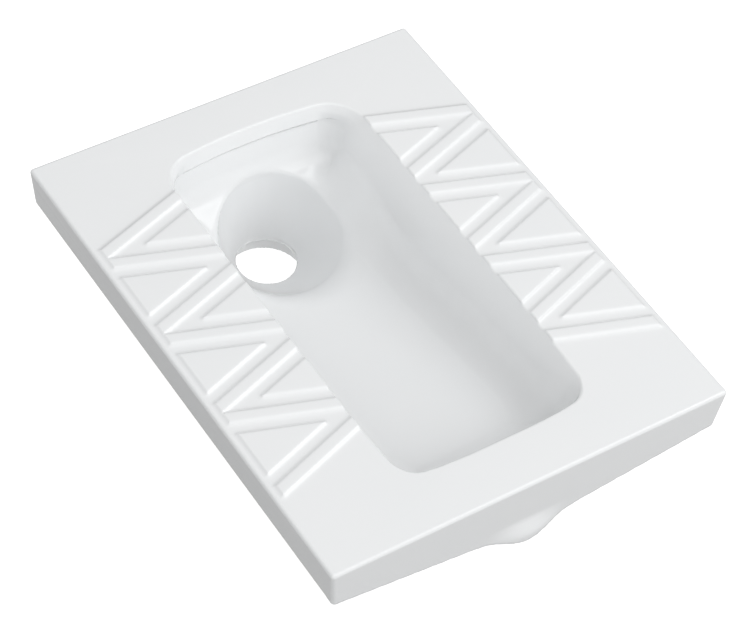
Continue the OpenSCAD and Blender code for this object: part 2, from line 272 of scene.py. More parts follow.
@dataclass(frozen=True)
class Deck:
    """Deck, leaning skirt, drooping front apron and the keel that runs back from it.

    Attributes:
        side_lean: How far the sides lean in for each millimetre down.
        apron_t: How far back from the front the apron goes.
        apron_droop: How much deeper the apron hangs in the middle than at its corners.
        keel_h: How far the keel hangs below the apron.
        keel_up: How far its part behind the apron stays above its edge.
        nose_out: How far the keel's front stands out from the apron.
    """

    corner_r: float = 4.0
    edge_r: float = 4.0
    thick: float = 12.0
    skirt_h: float = 52.0
    skirt_t: float = 12.0
    side_lean: float = 0.12
    inner_corner_r: float = 2.0
    inner_r: float = 5.0
    inner_edge_r: float = 1.0
    foot_r: float = 2.5
    apron_t: float = 13.5
    apron_droop: float = 31.0
    apron_soft: float = 15.0
    keel_h: float = 9.0
    keel_half_w: float = 56.0
    keel_in: float = 5.0
    keel_rear_y: float = -275.0
    keel_top_d: float = 70.0
    keel_up: float = 1.5
    keel_r: float = 3.0
    nose_out: float = 8.0
    nose_down: Fade = Fade(1.0, 58.0, 26.0)

    def plan(self, at: Place, inset: float, r: float) -> Array:
        """Distance to the leaning side faces, moved in by inset.

        Args:
            at: The points.
            inset: How far the faces are moved in.
            r: Radius of the corners.

        Returns:
            Signed distances in millimetres.
        """
        over = np.maximum(at.d - self.edge_r, 0.0)
        middle = (REAR_Y + FRONT_Y) / 2
        length = (REAR_Y - FRONT_Y) / 2
        nose = self.nose(at) * (at.y < middle)
        return rounded_rectangle(
            at.x,
            at.y - middle + nose,
            HALF_W - inset - self.side_lean * over,
            length - inset - END_LEAN * over,
            r,
        )

    def across_keel(self, x: Array) -> Array:
        """How much of the keel there is at x, from 1 in its middle to 0 at its sides."""
        t = np.minimum(np.abs(x) / self.keel_half_w, 1.0)
        return np.cos(t * math.pi / 2) ** 2

    def nose(self, at: Place) -> Array:
        """How far the keel's front stands out from the apron."""
        return self.nose_out * self.across_keel(at.x) * self.nose_down.at(at.d)

    def apron_depth(self, x: Array) -> Array:
        """Depth of the front apron's lower edge: a shallow V with a round keel in the middle."""
        reach = math.hypot(HALF_W, self.apron_soft) - self.apron_soft
        out = (np.hypot(x, self.apron_soft) - self.apron_soft) / reach
        bulge = self.keel_h * self.across_keel(x)
        return self.skirt_h + self.apron_droop * (1.0 - out) + bulge

    def shell(self, at: Place, treads: Array) -> Array:
        """Field of the deck's slab with its skirt and apron, and the treads on top.

        Args:
            at: The points.
            treads: Height of the treads at each point.

        Returns:
            Signed distances in millimetres.
        """
        block = rounded_and(self.plan(at, 0.0, self.corner_r), -at.d - treads, self.edge_r)
        inside = self.plan(at, self.skirt_t, self.inner_corner_r)
        hollow = rounded_and(inside, self.thick - at.d, self.inner_r)
        in_front = at.y < FRONT_Y + self.apron_t
        bottom = np.where(in_front, self.apron_depth(at.x), self.skirt_h)
        return rounded_and(without(block, hollow, self.inner_edge_r), at.d - bottom, self.foot_r)

    def keel(self, at: Place) -> Array:
        """Field of the round keel under the front of the basin."""
        ends = np.maximum(FRONT_Y + self.keel_in - at.y, at.y - self.keel_rear_y)
        sides = np.maximum(np.abs(at.x) - self.keel_half_w, self.keel_top_d - at.d)
        under = at.d - self.apron_depth(at.x) + self.keel_up
        return rounded_and(np.maximum(sides, ends), under, self.keel_r)


@dataclass(frozen=True)
class Basin:
    """The sloping trough with its overhanging rear lip, and the round sump behind it.

    Attributes:
        drain_tighter: Share by which the rim's rounding is smaller at the drain hole.
        wall_flare: How far the side walls draw in below the rim, mostly within flare_d.
        front_bow: How much the front rim bows, at front_bow_x from the middle.
        front_taper: How far the side walls draw in towards the front.
        corner_tighter: How much smaller the rear corners get further down.
        fillet_wider: How much larger the bottom's fillet is at the front.
        floor_front_d: Depth of the bottom, floor_start behind the front rim.
        floor_true: Turns the height above the sloping bottom into a distance.
        ledge_rise: The ledge's rise for each millimetre to the rear, as far as ledge_y.
        rear_bow: How far the rear wall bows, at rear_bow_x from the middle.
        sump_power: Power of the sump's profile: higher is steeper at its mouth.
        mouth_along: How much larger the rounding of the sump's mouth gets towards the front.
    """

    rim_rear_y: float = 54.0
    rim_front_y: float = -430.0
    rim_r: float = 2.0
    drain_tighter: Fade = Fade(0.4, 120.0, 30.0)
    wall_lean: float = 0.10
    wall_flare: float = 7.0
    flare_d: float = 18.0
    front_lean: float = 0.12
    front_bow: float = 6.0
    front_bow_x: float = 100.0
    front_taper: Fade = Fade(3.5, -310.0, -110.0)
    front_corner_r: float = 24.0
    rear_corner_r: float = 35.0
    corner_tighter: Fade = Fade(23.0, 8.0, 26.0)
    fillet_r: float = 35.0
    fillet_wider: Fade = Fade(15.0, -340.0, -50.0)
    fillet_tighter: Fade = Fade(8.0, -30.0, 62.0)
    floor_front_d: float = 67.0
    floor_start: float = 30.0
    floor_fall: float = 0.135
    floor_soft: float = 5.0
    floor_true: float = 0.985
    ledge_d: float = 74.0
    ledge_rise: float = 0.29
    ledge_y: float = 11.0
    ledge_soft: float = 12.0
    lip_d: float = 20.0
    lip_lean: float = 0.2
    lip_step: float = 4.0
    lip_soft: float = 1.6
    step_across: Fade = Fade(1.0, 107.0, -24.0)
    rear_lean: float = 0.23
    rear_bow: float = 5.0
    rear_bow_x: float = 80.0
    sump_r: float = 77.0
    sump_y: float = -36.0
    sump_d: float = 72.0
    sump_power: float = 1.9
    mouth_r: float = 3.0
    mouth_along: Fade = Fade(21.0, 10.0, -70.0)
    mouth_across: Fade = Fade(21.0, 48.0, 32.0)

    def floor_depth(self, y: Array) -> Array:
        """Depth of the trough's bottom: a slope, and beside the sump a ledge that rises again."""
        slope = self.floor_front_d + self.floor_fall * (y - self.rim_front_y - self.floor_start)
        ahead = (self.ledge_y - y + np.hypot(self.ledge_y - y, self.ledge_soft)) / 2
        ledge = self.ledge_d + self.ledge_rise * ahead
        apart = (ledge - slope) / 2
        return (slope + ledge) / 2 - np.hypot(apart, self.floor_soft)

    def rear_wall(self, at: Place) -> Array:
        """The y of the rear wall, which bows back in the middle and steps back under the lip.

        Args:
            at: The points.

        Returns:
            The wall's y for each point.
        """
        bow = self.rear_bow * (at.x / self.rear_bow_x) ** 2
        under = ease((at.d - self.lip_d) / self.lip_soft)
        centre = self.step_across.at(np.abs(at.x))
        lean = self.lip_lean * np.minimum(at.d, self.lip_d)
        lean += self.rear_lean * np.maximum(at.d - self.lip_d, 0.0)
        return self.rim_rear_y - bow - lean + self.lip_step * under * centre

    def trough(self, at: Place) -> Array:
        """Field of the open space above the sloping bottom.

        Args:
            at: The points.

        Returns:
            Signed distances in millimetres.
        """
        down = np.maximum(at.d, 0.0)
        side = np.abs(at.x) - RIM_X + self.wall_lean * down
        side += self.wall_flare * (1.0 - np.exp(-down / self.flare_d))
        side += self.front_taper.at(at.y)
        bow = self.front_bow * (at.x / self.front_bow_x) ** 4
        front = (self.rim_front_y + self.front_lean * at.d + bow) - at.y
        rear = at.y - self.rear_wall(at)
        corner = self.rear_corner_r - self.corner_tighter.at(at.d)
        plan = rounded_and(rounded_and(side, front, self.front_corner_r), rear, corner)
        fillet = self.fillet_r + self.fillet_wider.at(at.y) - self.fillet_tighter.at(at.y)
        return rounded_and(plan, (at.d - self.floor_depth(at.y)) * self.floor_true, fillet)

    def sump(self, at: Place) -> Array:
        """Field of the sump's funnel, which narrows to the drain hole.

        Args:
            at: The points.

        Returns:
            Signed distances in millimetres.
        """
        deep, narrowing = DRAIN_D - self.sump_d, self.sump_r - DRAIN_R
        t = np.clip((at.d - self.sump_d) / deep, 0.0, 1.0)
        r = DRAIN_R + narrowing * (1.0 - t**self.sump_power)
        rear = (self.sump_y + self.sump_r) * (1.0 - t) + DRAIN_R * t
        steep = narrowing * self.sump_power * t ** (self.sump_power - 1.0) / deep
        return (np.hypot(at.x, at.y - rear + r) - r) / np.hypot(1.0, steep)

    def edge_r(self, at: Place) -> Array:
        """Radius of the rim's edge, which is tighter at the drain hole."""
        return self.rim_r * (1.0 - self.drain_tighter.at(at.d))

    def space(self, at: Place) -> Array:
        """Field of everything inside the basin, down to the drain hole."""
        softer = np.maximum(self.mouth_along.at(at.y), self.mouth_across.at(np.abs(at.x)))
        return filleted_or(self.trough(at), self.sump(at), self.mouth_r + softer)


@dataclass(frozen=True)
class FlushWay:
    """The water channel behind the rear wall, the slot under the lip and the pipe inlet.

    Attributes:
        casing_in: How far the casing's back stays inside the rear skirt.
        slot_front_y: Where the slot's cut starts, in the open basin.
        lap: How far one cut reaches into the next.
    """

    half_w: float = 100.0
    top_d: float = 14.0
    floor_d: float = 66.0
    front_y: float = 66.0
    back_y: float = 96.0
    channel_r: float = 8.0
    end_r: float = 4.0
    casing_r: float = 20.0
    casing_top_d: float = 10.0
    casing_front_y: float = 46.0
    casing_in: float = 6.0
    slot_d: float = 22.0
    slot_h: float = 2.6
    slot_half_w: float = 84.0
    slot_front_y: float = 36.0
    inlet_r: float = 21.0
    inlet_d: float = 44.0
    boss_r: float = 32.0
    boss_l: float = 13.0
    boss_edge_r: float = 1.5
    boss_fillet_r: float = 4.0
    lean_d: float = 7.0
    lap: float = 2.0

    def casing(self, at: Place) -> Array:
        """Field of the box round the channel and the boss round the inlet.

        Args:
            at: The points.

        Returns:
            Signed distances in millimetres.
        """
        side = np.abs(at.x) - self.half_w - WALL_T
        under = at.d - self.floor_d - WALL_T
        ends = np.maximum(self.casing_front_y - at.y, at.y - REAR_Y + self.casing_in)
        ends = np.maximum(ends, self.casing_top_d - at.d)
        box = np.maximum(rounded_and(side, under, self.casing_r), ends)
        boss = np.hypot(at.x, at.d - self.inlet_d) - self.boss_r
        face = REAR_Y - END_LEAN * np.maximum(at.d - self.lean_d, 0.0)
        ends = np.maximum(REAR_Y - self.boss_l - at.y, at.y - face)
        boss = rounded_and(boss, ends, self.boss_edge_r)
        return filleted_or(box, boss, self.boss_fillet_r)

    def space(self, at: Place) -> Array:
        """Field of the channel, the slot and the inlet's bore.

        Args:
            at: The points.

        Returns:
            Signed distances in millimetres.
        """
        side = np.abs(at.x) - self.half_w
        height = np.maximum(self.top_d - at.d, at.d - self.floor_d)
        ends = np.maximum(self.front_y - at.y, at.y - self.back_y)
        channel = rounded_and(rounded_and(side, height, self.channel_r), ends, self.end_r)
        half_h = self.slot_h / 2
        height = np.abs(at.d - self.slot_d - half_h) - half_h
        ends = np.maximum(self.slot_front_y - at.y, at.y - self.front_y - self.lap)
        slot = np.maximum(np.maximum(np.abs(at.x) - self.slot_half_w, height), ends)
        bore = np.hypot(at.x, at.d - self.inlet_d) - self.inlet_r
        bore = np.maximum(bore, self.back_y - self.lap - at.y)
        return np.minimum(np.minimum(channel, slot), bore)


@dataclass(frozen=True)
class Outlet:
    """The spigot under the sump and the way through it.

    Attributes:
        seat: The seal's seat, cut in from a depth upwards.
        neck_h: How far the drain hole's straight neck reaches up and down.
        cone_true: Turns the level distance from the cone into a distance.
    """

    spigot_r: float = 51.0
    spigot_t: float = 7.0
    top_d: float = 150.0
    edge_r: float = 2.0
    seat: Fade = Fade(1.0, 180.0, -0.8)
    neck_h: float = 3.0
    cone_true: float = 0.8

    def spigot(self, at: Place) -> Array:
        """Field of the solid spigot."""
        wall = np.hypot(at.x, at.y) - self.spigot_r + self.seat.at(at.d)
        return rounded_and(wall, np.maximum(at.d - DECK_Z, self.top_d - at.d), self.edge_r)

    def space(self, at: Place) -> Array:
        """Field of the cone below the drain hole and the bore below that."""
        cone = DRAIN_R + at.d - DRAIN_D - self.neck_h
        r = np.clip(cone, DRAIN_R, self.spigot_r - self.spigot_t)
        wall = (np.hypot(at.x, at.y) - r) * self.cone_true
        return np.maximum(wall, DRAIN_D - self.neck_h - at.d)


@dataclass(frozen=True)
class Casting:
    """The whole pan as one body of china.

    Attributes:
        inner_fillet: Fillet between the bowl and the flush casing and keel.
        cut_r: Rounding of the outlet's and the flush way's edges.
        foot_h: Height of the bare band above the skirt's lower edge.
        glazed_front: How far back from the front the apron is glazed to its edge.
        bare_from: Distance under the glazed surfaces at which the china is bare.
    """

    treads: Treads = Treads()
    deck: Deck = Deck()
    basin: Basin = Basin()
    flush: FlushWay = FlushWay()
    outlet: Outlet = Outlet()
    bowl_top_d: float = 10.5
    bowl_end_d: float = 168.0
    bowl_r: float = 2.0
    bowl_fillet_r: float = 8.0
    inner_fillet: Fade = Fade(5.0, 14.0, 8.0)
    spigot_fillet: Fade = Fade(6.0, 100.0, 20.0)
    cut_r: float = 1.0
    foot_h: float = 3.0
    glazed_front: float = 14.0
    bare_from: float = 0.8
    bare_soft: float = 2.0
    far: float = 50.0

    def place(self, points: Array) -> Place:
        """Points as rows of x, y and z, turned into a Place."""
        return Place(points[:, 0], points[:, 1], DECK_Z - points[:, 2])

    def tread_heights(self, at: Place) -> Array:
        """Tread heights, worked out only near the deck's top."""
        heights = np.zeros_like(at.x)
        near = (at.d < self.treads.deepest) & (np.abs(at.x) > FINE_X)
        if near.any():
            heights[near] = self.treads.heights(at.x[near], at.y[near])
        return heights

    def distance(self, points: Array) -> Array:
        """Signed distance from the casting's surface, negative in the china.

        Args:
            points: Rows of x, y and z.

        Returns:
            Signed distances in millimetres.
        """
        at = self.place(points)
        open_space = self.basin.space(at)
        ends = np.maximum(self.bowl_top_d - at.d, at.d - self.bowl_end_d)
        bowl = rounded_and(open_space - WALL_T, ends, self.bowl_r)
        inner_r = self.inner_fillet.at(at.d)
        body = filleted_or(self.deck.shell(at, self.tread_heights(at)), bowl, self.bowl_fillet_r)
        body = filleted_or(body, self.flush.casing(at), inner_r)
        body = filleted_or(body, self.deck.keel(at), inner_r)
        body = filleted_or(body, self.outlet.spigot(at), self.spigot_fillet.at(at.d))
        body = without(body, open_space, self.basin.edge_r(at))
        body = without(body, self.outlet.space(at), self.cut_r)
        return without(body, self.flush.space(at), self.cut_r)

    def bareness(self, points: Array) -> Array:
        """How bare of glaze each point is, from 0 to 1: the underside and the standing edge.

        Args:
            points: Rows of x, y and z.

        Returns:
            A share for each point.
        """
        at = self.place(points)
        side = self.deck.plan(at, 0.0, self.deck.corner_r)
        outer = np.abs(rounded_and(side, -at.d - self.tread_heights(at), self.deck.edge_r))
        inner = np.minimum(np.abs(self.basin.space(at)), np.abs(self.outlet.space(at)))
        low = ease((at.d - self.deck.skirt_h + self.foot_h) / self.bare_soft)
        low *= np.abs(at.y - FRONT_Y) > self.glazed_front
        under = np.minimum(outer + self.far * low, inner)
        return ease((under - self.bare_from) / self.bare_soft)


# ---------------- meshing


def axis(start: float, *bands: tuple[float, float]) -> Array:
    """Coordinates along an axis, in millimetres.

    Args:
        start: Where the axis starts.
        *bands: Where each band of it ends, and the spacing in that band.

    Returns:
        The coordinates in order.
    """
    parts = []
    for stop, step in bands:
        count = max(2, round((stop - start) / step) + 1)
        parts.append(np.linspace(start, stop, count)[:-1])
        start = stop
    return np.concatenate([*parts, [start]])


@dataclass(frozen=True)
class SkinMesher:
    """Meshes the surface of a field with one point in each cell that the surface crosses.

    Attributes:
        block: Grid points along each side of the blocks that are looked at first.
        margin: How far a block's reach goes past its points.
        doubt: How many times its reach from the surface a block counts as clear.
    """

    xs: Array
    ys: Array
    zs: Array
    block: int = 12
    margin: float = 3.0
    doubt: float = 1.7

    def sample(self, distance: Callable[[Array], Array]) -> Array:
        """Field at every grid point near the surface, and only its sign elsewhere.

        Args:
            distance: The field.

        Returns:
            Its values, in the shape of the grid.
        """
        axes = (self.xs, self.ys, self.zs)
        cuts = [np.arange(0, len(a), self.block) for a in axes]
        centres, halves = [], []
        for a, c in zip(axes, cuts, strict=True):
            ends = np.minimum(c + self.block, len(a)) - 1
            centres.append((a[c] + a[ends]) / 2)
            halves.append((a[ends] - a[c]) / 2 + self.margin)
        grid = np.stack(np.meshgrid(*centres, indexing="ij"), -1)
        reach = np.sqrt(sum(h**2 for h in np.meshgrid(*halves, indexing="ij")))
        middle = distance(grid.reshape(-1, 3)).reshape(reach.shape)
        values = np.empty([len(a) for a in axes], np.float32)
        for i, j, k in np.ndindex(middle.shape):
            part = tuple(
                slice(c[n], min(c[n] + self.block, len(a)))
                for a, c, n in zip(axes, cuts, (i, j, k), strict=True)
            )
            if abs(middle[i, j, k]) > self.doubt * reach[i, j, k]:
                values[part] = middle[i, j, k]
                continue
            near = (a[s] for a, s in zip(axes, part, strict=True))
            points = np.stack(np.meshgrid(*near, indexing="ij"), -1)
            values[part] = distance(points.reshape(-1, 3)).reshape(points.shape[:3])
        return values

    def skin(self, values: Array) -> tuple[Array, Array]:
        """Points and quads of the surface.

        Args:
            values: The field at the grid's points.

        Returns:
            Points as rows of x, y and z, and quads as rows of four point numbers.
        """
        inside = values < 0
        shape = tuple(n - 1 for n in values.shape)
        corners = list(np.ndindex(2, 2, 2))
        count = np.zeros(shape, np.uint8)
        for c in corners:
            count += inside[tuple(slice(o, o + n) for o, n in zip(c, shape, strict=True))]
        cells = np.argwhere((count > 0) & (count < len(corners)))
        number = np.full(shape, -1, np.int64)
        number[tuple(cells.T)] = np.arange(len(cells))
        total, hits = np.zeros((len(cells), 3)), np.zeros(len(cells))
        axes = (self.xs, self.ys, self.zs)
        for a in corners:
            for n in range(3):
                if a[n]:
                    continue
                b = tuple(v + (m == n) for m, v in enumerate(a))
                pa, pb = cells + a, cells + b
                va, vb = values[tuple(pa.T)], values[tuple(pb.T)]
                cut = (va < 0) != (vb < 0)
                t = np.where(cut, va / np.where(cut, va - vb, 1.0), 0.0)[:, None]
                at = np.stack([g[pa[:, m]] for m, g in enumerate(axes)], -1)
                to = np.stack([g[pb[:, m]] for m, g in enumerate(axes)], -1)
                total += np.where(cut[:, None], at + (to - at) * t, 0.0)
                hits += cut
        return total / hits[:, None], np.concatenate(list(self.quads(inside, number)))

    @staticmethod
    def quads(inside: Array, number: Array) -> Iterator[Array]:
        """Quads round each grid edge that the surface crosses, facing out of the body.

        Args:
            inside: Whether each grid point is in the body.
            number: Number of each cell's point, or -1.

        Yields:
            Rows of four point numbers.
        """
        for n in range(3):
            u, v = (n + 1) % 3, (n + 2) % 3
            one = [slice(None)] * 3
            two = [slice(None)] * 3
            one[n], two[n] = slice(0, -1), slice(1, None)
            for m in (u, v):
                one[m] = two[m] = slice(1, -1)
            leaving = inside[tuple(one)] & ~inside[tuple(two)]
            entering = ~inside[tuple(one)] & inside[tuple(two)]
            for crossing, flip in ((leaving, False), (entering, True)):
                at = np.argwhere(crossing)
                at[:, u] += 1
                at[:, v] += 1
                ring = []
                for du, dv in ((1, 1), (0, 1), (0, 0), (1, 0)):
                    cell = at.copy()
                    cell[:, u] -= du
                    cell[:, v] -= dv
                    ring.append(number[tuple(cell.T)])
                quad = np.stack(ring, -1)
                yield quad[:, ::-1] if flip else quad


def gradient(distance: Callable[[Array], Array], points: Array, reach: float) -> Array:
    """Slope of a field at each point, from its values a little to either side.

    Args:
        distance: The field.
        points: Rows of x, y and z.
        reach: How far to either side.

    Returns:
        A slope for each point, in rows.
    """
    slopes = []
    for n in range(3):
        step = np.zeros(3)
        step[n] = reach
        slopes.append((distance(points + step) - distance(points - step)) / (2 * reach))
    return np.stack(slopes, -1)


def settle(distance: Callable[[Array], Array], points: Array, most: float) -> Array:
    """Points moved straight onto the field's surface, none further than most.

    Args:
        distance: The field.
        points: Rows of x, y and z.
        most: The furthest that a point moves.

    Returns:
        The moved points.
    """
    passes, reach, flattest, stride = 3, 0.05, 0.2, 1.0
    moved = points.copy()
    for _ in range(passes):
        slope = gradient(distance, moved, reach)
        size = np.maximum((slope**2).sum(-1), flattest)
        moved -= slope * (np.clip(distance(moved), -stride, stride) / size)[:, None]
    away = moved - points
    length = np.maximum(np.linalg.norm(away, axis=1), TINY)
    return points + away * np.minimum(1.0, most / length)[:, None]


# ---------------- shader maths


class Wire:
    """A shader value. Python's operators on it add Math nodes."""

    def __init__(self, bench: "ShaderBench", socket: bpy.types.NodeSocket) -> None:
        """Wraps a node's output socket."""
        self.bench = bench
        self.socket = socket

    def maths(self, operation: str, *values: "Wire | float", clamp: bool = False) -> "Wire":
        """A Math node on these values.

        Args:
            operation: Name of the Math node's operation.
            *values: Its inputs in order, wires or numbers.
            clamp: Whether the result is held between 0 and 1.

        Returns:
            The node's result.
        """
        settings = {"operation": operation, "use_clamp": clamp}
        node = self.bench.node("ShaderNodeMath", settings, dict(enumerate(values)))
        return Wire(self.bench, node.outputs[0])

    @classmethod
    def number(cls, bench: "ShaderBench", value: float) -> "Wire":
        """A value that is the same everywhere."""
        made = bench.node("ShaderNodeValue", {}, {})
        made.outputs[0].default_value = value
        return cls(bench, made.outputs[0])

    def __add__(self, other: "Wire | float") -> "Wire":
        """Sum."""
        return self.maths("ADD", self, other)

    def __radd__(self, other: float) -> "Wire":
        """Sum with a number in front."""
        return self.maths("ADD", other, self)

    def __sub__(self, other: "Wire | float") -> "Wire":
        """Difference."""
        return self.maths("SUBTRACT", self, other)

    def __rsub__(self, other: float) -> "Wire":
        """Difference with a number in front."""
        return self.maths("SUBTRACT", other, self)

    def __mul__(self, other: "Wire | float") -> "Wire":
        """Product."""
        return self.maths("MULTIPLY", self, other)

    def __rmul__(self, other: float) -> "Wire":
        """Product with a number in front."""
        return self.maths("MULTIPLY", other, self)

    def __pow__(self, other: float) -> "Wire":
        """Power."""
        return self.maths("POWER", self, other)

    def clamped(self) -> "Wire":
        """The value held between 0 and 1."""
        return self.maths("ADD", self, 0.0, clamp=True)


@dataclass(frozen=True)
class Grain:
    """A noise pattern, its scale in cells to the metre."""

    scale: float
    detail: float
    rough: float = 0.5


@dataclass(frozen=True)
class Relief:
    """How deep a bump looks: its strength, and its height in metres."""

    strength: float
    distance: float


class ShaderBench:
    """Builds the nodes of one material or world."""

    def __init__(self, tree: bpy.types.NodeTree) -> None:
        """Takes an empty node tree."""
        self.tree = tree
        tree.nodes.clear()

    def node(
        self, kind: str, settings: Mapping[str, object], inputs: Mapping[str | int, object]
    ) -> bpy.types.Node:
        """Adds a node.

        Args:
            kind: The node's type name.
            settings: Properties set first.
            inputs: Values, wires or sockets for its input sockets, by name or number.

        Returns:
            The new node.
        """
        made = self.tree.nodes.new(kind)
        for name, value in settings.items():
            setattr(made, name, value)
        for name, value in inputs.items():
            if isinstance(value, Wire):
                value = value.socket
            if isinstance(value, bpy.types.NodeSocket):
                self.tree.links.new(value, made.inputs[name])
            else:
                made.inputs[name].default_value = value
        return made

    def wire(
        self,
        kind: str,
        settings: Mapping[str, object],
        inputs: Mapping[str | int, object],
        output: str | int = 0,
    ) -> Wire:
        """Adds a node and returns one of its outputs."""
        return Wire(self, self.node(kind, settings, inputs).outputs[output])

    def mix(self, factor: Wire | float, one: object, other: object) -> Wire:
        """Mixes two colours, whose sockets have the same names as others and go by number."""
        factor_in, first_in, second_in, colour_out = 0, 6, 7, 2
        inputs = {factor_in: factor, first_in: one, second_in: other}
        return self.wire("ShaderNodeMix", {"data_type": "RGBA"}, inputs, colour_out)

    def noise(self, grain: Grain) -> Wire:
        """Noise over the object's own coordinates, from 0 to 1."""
        place = self.node("ShaderNodeTexCoord", {}, {}).outputs["Object"]
        inputs = {"Scale": grain.scale, "Detail": grain.detail, "Roughness": grain.rough}
        return self.wire("ShaderNodeTexNoise", {}, {"Vector": place, **inputs})

    def bump(self, height: Wire, relief: Relief, under: Mapping[str, Wire] | None = None) -> Wire:
        """Bump from a height, over the normal in under if that holds one."""
        inputs = {"Strength": relief.strength, "Distance": relief.distance, **(under or {})}
        return self.wire("ShaderNodeBump", {}, {"Height": height, **inputs})

    def end(self, kind: str, inputs: Mapping[str | int, object], output: str = "Material") -> None:
        """Ends the tree in a shader with these inputs."""
        shader = self.node(kind, {}, inputs)
        self.node(f"ShaderNodeOutput{output}", {}, {"Surface": shader.outputs[0]})


def new_material(name: str) -> tuple[bpy.types.Material, ShaderBench]:
    """An empty material and the bench that fills it."""
    made = bpy.data.materials.new(name)
    made.use_nodes = True
    return made, ShaderBench(made.node_tree)


def opaque(colour: Colour) -> tuple[float, float, float, float]:
    """A colour with full alpha."""
    return (*colour, 1.0)


@dataclass(frozen=True)
class WhiteGlaze:
    """Glazed white china that is bare, matt biscuit on the underside.

    Attributes:
        pooled: Colour where the cloud noise is above pooled_from.
        earth_dark: How dark the biscuit's dark grains are, as a share of its colour.
        rough: Roughness of the glaze, what the cloud adds and what bareness adds.
    """

    white: Colour = (0.85, 0.86, 0.866)
    pooled: Colour = (0.828, 0.846, 0.856)
    biscuit: Colour = (0.77, 0.75, 0.71)
    pooled_from: float = 0.35
    earth_dark: float = 0.9
    rough: tuple[float, float, float] = (0.10, 0.05, 0.75)
    ior: float = 1.52
    edge_wander: float = 0.5
    edge_sharp: float = 6.0
    cloud: Grain = Grain(9.0, 3.0)
    grain: Grain = Grain(900.0, 4.0, 0.6)
    edge: Grain = Grain(60.0, 3.0)
    wave: Grain = Grain(28.0, 1.0)
    ripple: Relief = Relief(0.10, 0.0006)
    coarse: Relief = Relief(0.4, 0.0005)

    def material(self) -> bpy.types.Material:
        """Builds the material."""
        made, bench = new_material("white_glaze")
        cloud = bench.noise(self.cloud)
        grain = bench.noise(self.grain)
        edge = bench.noise(self.edge)
        bare = bench.wire("ShaderNodeAttribute", {"attribute_name": "bare"}, {}, "Fac")
        matt = (bare - 0.5 + (edge - 0.5) * self.edge_wander) * self.edge_sharp + 0.5
        matt = matt.clamped()
        thick = (cloud - self.pooled_from).clamped()
        glaze = bench.mix(thick, opaque(self.white), opaque(self.pooled))
        dark = tuple(self.earth_dark * c for c in self.biscuit)
        earth = bench.mix(grain, opaque(self.biscuit), opaque(dark))
        ripple = bench.bump(bench.noise(self.wave), self.ripple)
        glazed, clouded, unglazed = self.rough
        bench.end(
            "ShaderNodeBsdfPrincipled",
            {
                "Base Color": bench.mix(matt, glaze, earth),
                "Roughness": matt * unglazed + (cloud * clouded + glazed),
                "IOR": self.ior,
                "Normal": bench.bump(grain * matt, self.coarse, {"Normal": ripple}),
            },
        )
        return made


@dataclass(frozen=True)
class SealRubber:
    """Matt black rubber with a fine mould grain and patches of bloom.

    Attributes:
        rough: Roughness of the blackest rubber, and what the bloom adds.
    """

    black: Colour = (0.022, 0.022, 0.024)
    bloom: Colour = (0.045, 0.045, 0.046)
    rough: tuple[float, float] = (0.5, 0.15)
    ior: float = 1.5
    patch: Grain = Grain(45.0, 4.0)
    grain: Grain = Grain(1400.0, 2.0)
    mould: Relief = Relief(0.25, 0.0003)

    def material(self) -> bpy.types.Material:
        """Builds the material."""
        made, bench = new_material("seal_rubber")
        patch = bench.noise(self.patch)
        grain = bench.noise(self.grain)
        clean, bloomed = self.rough
        bench.end(
            "ShaderNodeBsdfPrincipled",
            {
                "Base Color": bench.mix(patch, opaque(self.black), opaque(self.bloom)),
                "Roughness": patch * bloomed + clean,
                "IOR": self.ior,
                "Normal": bench.bump(grain, self.mould),
            },
        )
        return made


# ---------------- pieces


def add(name: str, data: bpy.types.ID) -> bpy.types.Object:
    """A new object with this data, linked into the scene."""
    made = bpy.data.objects.new(name, data)
    bpy.context.scene.collection.objects.link(made)
    return made


def dress(piece: bpy.types.Object, material: bpy.types.Material) -> None:
    """Gives a piece one material all over."""
    piece.data.materials.clear()
    piece.data.materials.append(material)


